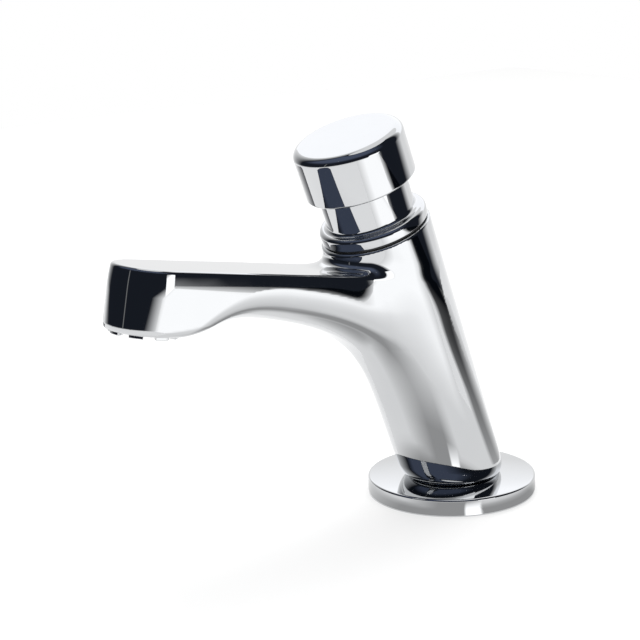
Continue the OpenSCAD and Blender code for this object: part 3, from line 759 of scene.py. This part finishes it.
def return_spring():
    """Round wire wound from the cup to the poppet, with both ends closed."""
    turn_steps, wire_steps = 48, 16
    closed_rise = SPRING_CLOSED * 2.0 * SPRING_WIRE_R
    rise = SPRING_L - 2.0 * SPRING_WIRE_R
    knots = (0.0, SPRING_CLOSED, SPRING_TURNS - SPRING_CLOSED, SPRING_TURNS)
    climb = (0.0, closed_rise, rise - closed_rise, rise)
    points = []
    for k in range(SPRING_TURNS * turn_steps + 1):
        turn = k / turn_steps
        height = SPRING_FOOT + SPRING_WIRE_R + float(np.interp(turn, knots, climb))
        a = 2.0 * math.pi * turn
        for i in range(wire_steps):
            b = 2.0 * math.pi * i / wire_steps
            r = SPRING_R + SPRING_WIRE_R * math.cos(b)
            points.append((r * math.cos(a), r * math.sin(a), height + SPRING_WIRE_R * math.sin(b)))
    count = len(points) // wire_steps
    faces = [tuple(range(wire_steps)), tuple(range((count - 1) * wire_steps, count * wire_steps))[::-1]]
    for k, i in itertools.product(range(count - 1), range(wire_steps)):
        j = (i + 1) % wire_steps
        low, high = k * wire_steps, (k + 1) * wire_steps
        faces.append((low + j, low + i, high + i, high + j))
    piece = new_piece("wound_spring", points, faces, AXIS_PLACE)
    finish_piece(piece, "tap", "steel", "return_spring")
    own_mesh(piece)


def finish_solids():
    """Finishes of the solids that show as they are."""
    for row in frame["record"]["subparts"]:
        solid = frame["nodes"][row["node"]]
        if not solid.hide_render:
            solid.data.materials.clear()
            solid.data.materials.append(FINISHES[row["material_slot"]])


# Camera at the photograph's viewing angle, with its focus in pixels
VIEW_AZIMUTH = math.radians(52.25)
VIEW_ELEVATION = math.radians(13.95)
VIEW_ROLL = math.radians(-1.76)
VIEW_DISTANCE = 650.34
VIEW_SHIFT = (-47.5, 60.77)
VIEW_FOCUS = 1801.63
IMAGE_WIDTH = 640.0
SENSOR = 36.0


def add_camera():
    back = Vector((
        math.sin(VIEW_AZIMUTH) * math.cos(VIEW_ELEVATION),
        -math.cos(VIEW_AZIMUTH) * math.cos(VIEW_ELEVATION),
        math.sin(VIEW_ELEVATION),
    ))
    right = Vector((math.cos(VIEW_AZIMUTH), math.sin(VIEW_AZIMUTH), 0.0))
    up = back.cross(right)
    c, s = math.cos(VIEW_ROLL), math.sin(VIEW_ROLL)
    right, up = c * right + s * up, c * up - s * right
    eye = back * VIEW_DISTANCE + right * VIEW_SHIFT[0] + up * VIEW_SHIFT[1]
    data = bpy.data.cameras.new("camera")
    data.sensor_width = SENSOR
    data.lens = VIEW_FOCUS * SENSOR / IMAGE_WIDTH
    camera = bpy.data.objects.new("camera", data)
    camera.matrix_world = Matrix.Translation(eye * MM) @ Matrix((right, up, back)).transposed().to_4x4()
    scene.collection.objects.link(camera)
    scene.camera = camera


# Studio: a white table with a bright wall behind it and a dark room in front

# Azimuths are in degrees from the camera's direction, to its right, and spans hold azimuths
TABLE_HALF = 1000.0
TABLE_Z = -0.1
TABLE_LIGHT = 0.35
WORLD_FILL = 0.8
ROOM_R = 600.0
ROOM_FOOT = 0.2
ROOM_COVE = 60.0
ROOM_HEAD = 1800.0
ROOM_SPAN = (-155.0, -112.0, 103.0, 124.0)
DARK_FOOT_SPAN = (48.0, 62.0)
SLATE_R = 590.0
SLATE_SPAN = (-112.0, -95.0, 20.0, 60.0)
SHEET_Z = 0.6
SHEET_END_R = 601.0
# Painted pool of light on the table, to the right of the camera
BRIGHT_Z = 0.5
BRIGHT_SPAN = (6.0, 22.0, 56.0, 70.0)
END_SPAN = (-152.0, -118.0, -117.0, -116.0)
PANEL_R = 570.0
PANEL_SPAN = (30.0, 54.0)
# Painted shade on the table in front of the flange, and a painted beam of light across it
FOOT_Z = 0.3
FOOT_HALF_SPAN = 110.0
FOOT_RADII = (30.3, 140.0)
FOOT_SHADE = 0.58
BEAM_RADII = (30.0, 50.0, 80.0, 160.0)
BEAM_LEFT = (4.8, 9.0, 12.0, 15.0)
BEAM_RIGHT = (16.3, 25.0, 32.0, 37.0)
BEAM_END = (34.0, 50.0)
BEAM_EDGE = 1.0
BEAM_TONE = 1.9
FOOT_TONE_TOP = 2.0
BACK_R = 1500.0
BACK_SPAN = (125.0, 235.0)
GAP_SPAN = (-58.0, -56.6, -56.4, -55.0)

# Tones of the studio
BLACK = (0.0, 0.0, 0.0)
WHITE = (1.0, 1.0, 1.0)
ROOM_BLACK = (0.013, 0.016, 0.023)
SLATE_BLUE = (0.09, 0.11, 0.165)
SHADOW_BLACK = (0.003, 0.004, 0.006)
END_GREY = (0.12, 0.12, 0.13)
# Tone of the painted pool of light on the table
SHEET_BRIGHT = (1.55, 1.55, 1.55)
PANEL_BRIGHT = (1.7, 1.7, 1.7)
BACK_BRIGHT = (1.42, 1.43, 1.46)
GAP_DARK = (0.012, 0.015, 0.022)
GAP_LIGHT = (0.3, 0.3, 0.3)
TABLE_PAINT = (0.86, 0.86, 0.86, 1.0)

# Lamps: name, azimuth, elevation, distance, size, power, and whether the chrome mirrors it
LAMPS = (
    ("top_lamp", 180.0, 72.0, 1300.0, 900.0, 16.0, False),
    ("spark_left", -40.0, 38.0, 1200.0, 40.0, 0.25, True),
    ("spark_middle", 5.0, 30.0, 1200.0, 40.0, 0.25, True),
    ("spark_right", 40.0, 42.0, 1200.0, 40.0, 0.25, True),
)


def seen_backdrop(tree):
    """One for rays from the camera, from metal and through glass, and nought for the rest."""
    path = tree.nodes.new("ShaderNodeLightPath")
    camera, glossy, through = (
        Tone(tree, path.outputs[name]) for name in ("Is Camera Ray", "Is Glossy Ray", "Is Transmission Ray")
    )
    seen = camera + glossy + through
    return seen.add("ShaderNodeClamp", Value=seen)


def add_world():
    world = bpy.data.worlds.new("studio")
    scene.world = world
    world.use_nodes = True
    tree = world.node_tree
    background = tree.nodes["Background"]
    background.inputs["Color"].default_value = (*WHITE, 1.0)
    feed(tree, background.inputs["Strength"], WORLD_FILL + seen_backdrop(tree) * (1.0 - WORLD_FILL))


def add_table():
    """White table top: partly its own white for the background, partly lit, so that the shadow stays."""
    corners = ((-1, -1), (1, -1), (1, 1), (-1, 1))
    points = [(x * TABLE_HALF, y * TABLE_HALF, TABLE_Z) for x, y in corners]
    table = new_piece("table", points, [(0, 1, 2, 3)])
    material, tree, surface = bare_material("table_white")
    white = tree.nodes.new("ShaderNodeEmission")
    lit = tree.nodes.new("ShaderNodeBsdfDiffuse")
    lit.inputs["Color"].default_value = TABLE_PAINT
    both = tree.nodes.new("ShaderNodeMixShader")
    feed(tree, both.inputs[0], 1.0 - seen_backdrop(tree) * (1.0 - TABLE_LIGHT))
    tree.links.new(white.outputs[0], both.inputs[1])
    tree.links.new(lit.outputs[0], both.inputs[2])
    tree.links.new(both.outputs[0], surface)
    table.data.materials.append(material)


def studio_direction(azimuth):
    """Level direction at an angle from the camera's, to its right."""
    a = VIEW_AZIMUTH + math.radians(azimuth)
    return Vector((math.sin(a), -math.cos(a), 0.0))


def glow(name, first, second):
    """A glow between two tones, by the card's own share."""
    material, tree, surface = bare_material(name)
    light = tree.nodes.new("ShaderNodeEmission")
    attribute = tree.nodes.new("ShaderNodeAttribute")
    attribute.attribute_name = "share"
    feed(tree, light.inputs["Color"], mix_colour(Tone(tree, attribute.outputs["Fac"]), first, second))
    tree.links.new(light.outputs[0], surface)
    return material


def studio_card(name, rows, material):
    """A sheet through rows of (azimuth, radius, height, share) that only shows in reflections."""
    count = len(rows[0])
    flat = [spot for row in rows for spot in row]
    points = [studio_direction(a) * r + Vector((0, 0, z)) for a, r, z, share in flat]
    faces = []
    for j, i in itertools.product(range(len(rows) - 1), range(count - 1)):
        low, high = j * count + i, (j + 1) * count + i
        faces.append((low, low + 1, high + 1, high))
    card = new_piece(name, points, faces)
    share = card.data.attributes.new("share", "FLOAT", "POINT")
    share.data.foreach_set("value", [spot[3] for spot in flat])
    card.data.materials.append(material)
    card.visible_camera = False
    card.visible_diffuse = False
    card.visible_shadow = False


def between(value, places, shares):
    """Share at a value, straight from place to place."""
    return float(np.interp(value, places, shares))


def fade(value, start, full_start, full_end, end):
    """Share that rises from start to full_start and falls from full_end to end."""
    return between(value, (start, full_start, full_end, end), (0.0, 1.0, 1.0, 0.0))


def dark_room():
    """Curved wall in front, nearly black: its foot runs pale into the table, but for the right end."""
    turns = np.linspace(ROOM_SPAN[0], ROOM_SPAN[-1], 140)
    rows = []
    for z, dark in ((ROOM_FOOT, 0.0), (ROOM_COVE, 1.0), (ROOM_HEAD, 1.0)):
        shares = [fade(a, *ROOM_SPAN) * max(dark, between(a, DARK_FOOT_SPAN, (0.0, 1.0))) for a in turns]
        rows.append([(a, ROOM_R, z, share) for a, share in zip(turns, shares)])
    studio_card("dark_room", rows, glow("dark_room", WHITE, ROOM_BLACK))


def slate_wall():
    """Slate blue upper part of the wall in front."""
    turns = np.linspace(SLATE_SPAN[0], SLATE_SPAN[-1], 60)
    rows = []
    for z, share in ((300.0, 0.0), (520.0, 1.0), (1500.0, 1.0)):
        rows.append([(a, SLATE_R, z, share * fade(a, *SLATE_SPAN)) for a in turns])
    studio_card("slate_wall", rows, glow("slate_wall", ROOM_BLACK, SLATE_BLUE))


def shadow_sheet():
    """Shadow on the table to the right, as (radius, start, end, share), which the column mirrors."""
    bands = (
        (60.0, 98.0, 126.0, 0.5),
        (105.0, 97.0, 124.0, 0.62),
        (190.0, 93.0, 119.0, 0.75),
        (300.0, 78.0, 111.0, 0.92),
        (420.0, 65.0, 107.0, 1.0),
        (SHEET_END_R, 62.0, 104.0, 1.0),
    )
    rows = []
    for r, start, end, share in bands:
        span = (start - 7.0, start + 4.0, end - 6.0, end + 24.0)
        turns = np.linspace(span[0], span[-1], 60)
        rows.append([(a, r, SHEET_Z, share * fade(a, *span)) for a in turns])
    studio_card("shadow_sheet", rows, glow("table_shadow", WHITE, SHADOW_BLACK))


def left_sheet():
    """Darker end of the table behind the tap on the left, which edges the cap."""
    turns = np.linspace(END_SPAN[0], END_SPAN[-1], 40)
    rows = []
    for r, share in ((130.0, 0.0), (180.0, 1.0), (380.0, 1.0), (480.0, 0.0)):
        rows.append([(a, r, SHEET_Z, share * fade(a, *END_SPAN)) for a in turns])
    studio_card("left_sheet", rows, glow("table_end", WHITE, END_GREY))


def painted_light_sheet():
    """Painted pool of light: a brighter stretch of the table to the right of the camera."""
    turns = np.linspace(BRIGHT_SPAN[0], BRIGHT_SPAN[-1], 60)
    rows = []
    for r, share in ((90.0, 0.0), (160.0, 0.7), (240.0, 1.0), (480.0, 1.0), (SHEET_END_R, 0.4)):
        rows.append([(a, r, BRIGHT_Z, share * fade(a, *BRIGHT_SPAN)) for a in turns])
    studio_card("painted_light_sheet", rows, glow("table_painted_light", WHITE, SHEET_BRIGHT))


def bright_panel():
    """Low bright panel that stands at the end of the table on the right."""
    turns = np.linspace(*PANEL_SPAN, 24)
    rows = []
    for z, share in ((0.8, 1.0), (110.0, 1.0), (150.0, 0.0)):
        rows.append([(a, PANEL_R, z, share) for a in turns])
    studio_card("bright_panel", rows, glow("panel_bright", ROOM_BLACK, PANEL_BRIGHT))


def foot_tone(azimuth, radius):
    """Painted tone of the table close to the flange: painted shade in front, with one painted beam of light across
    it.
    """
    near = between(radius, (30.0, 36.0, 44.0), (1.0, 1.0, 0.0)) * fade(azimuth, -115.0, -45.0, 75.0, 105.0)
    wide = between(radius, (30.0, 55.0, 95.0), (1.0, 1.0, 0.0)) * fade(azimuth, -55.0, -16.0, 8.0, 28.0)
    tone = 1.0 - FOOT_SHADE * max(near, wide)
    left = between(radius, BEAM_RADII, BEAM_LEFT)
    right = between(radius, BEAM_RADII, BEAM_RIGHT)
    beam = fade(azimuth, left - BEAM_EDGE, left + BEAM_EDGE, right - BEAM_EDGE, right + BEAM_EDGE)
    return tone + (BEAM_TONE - tone) * beam * between(radius, BEAM_END, (1.0, 0.0))


def foot_shade_and_beam():
    """Painted shade and a painted beam of light on the table round the flange, which the flange's rim and the
    column's foot mirror.
    """
    turns = np.linspace(-FOOT_HALF_SPAN, FOOT_HALF_SPAN, 260)
    radii = np.linspace(*FOOT_RADII, 28)
    rows = [[(a, r, FOOT_Z, foot_tone(a, r) / FOOT_TONE_TOP) for a in turns] for r in radii]
    studio_card("foot_shade_and_beam", rows, glow("foot_painted_shade_and_beam", BLACK, (FOOT_TONE_TOP,) * 3))


def back_sheet():
    """Bright wall behind the tap, which the cap's flat top mirrors."""
    turns = np.linspace(*BACK_SPAN, 40)
    rows = []
    for z, share in ((420.0, 0.0), (640.0, 1.0), (1700.0, 1.0)):
        rows.append([(a, BACK_R, z, share) for a in turns])
    studio_card("back_sheet", rows, glow("back_bright", WHITE, BACK_BRIGHT))


def door_gap():
    """Narrow gap of light in the wall in front, which shows as a thin line on the nose."""
    turns = np.linspace(GAP_SPAN[0], GAP_SPAN[-1], 3)
    rows = [[(a, SLATE_R, z, fade(a, *GAP_SPAN)) for a in turns] for z in (40.0, 420.0)]
    studio_card("door_gap", rows, glow("gap_light", GAP_DARK, GAP_LIGHT))


def soft_lamp(name, azimuth, elevation, distance, size, power, mirrored):
    """A square soft box that faces the tap."""
    data = bpy.data.lights.new(name, "AREA")
    data.shape = "SQUARE"
    data.size = size * MM
    data.energy = power
    lamp = bpy.data.objects.new(name, data)
    lamp.visible_glossy = mirrored
    e = math.radians(elevation)
    away = studio_direction(azimuth) * math.cos(e) + Vector((0, 0, math.sin(e)))
    turn = away.to_track_quat("Z", "Y").to_matrix().to_4x4()
    lamp.matrix_world = Matrix.Translation(away * distance * MM) @ turn
    scene.collection.objects.link(lamp)


# The tap
body_casting()
base_flange()
inlet_shank()
backnut()
soft_foot = -DECK_T - DECK_WASHER_T
washer("soft_washer", "rubber", "deck_washer", -DECK_T, DECK_WASHER_T, DECK_WASHER_EDGE_R)
washer("metal_washer", "steel", "backnut_washer", soft_foot, METAL_WASHER_T, METAL_WASHER_EDGE_R)
return_spring()
base_gasket()
bonnet()
bonnet_gasket()
push_cap()
aerator_housing()
finish_solids()

# Its studio
scene.view_settings.view_transform = "Standard"
add_camera()
add_world()
add_table()
dark_room()
slate_wall()
shadow_sheet()
left_sheet()
painted_light_sheet()
bright_panel()
foot_shade_and_beam()
back_sheet()
door_gap()
for lamp in LAMPS:
    soft_lamp(*lamp)
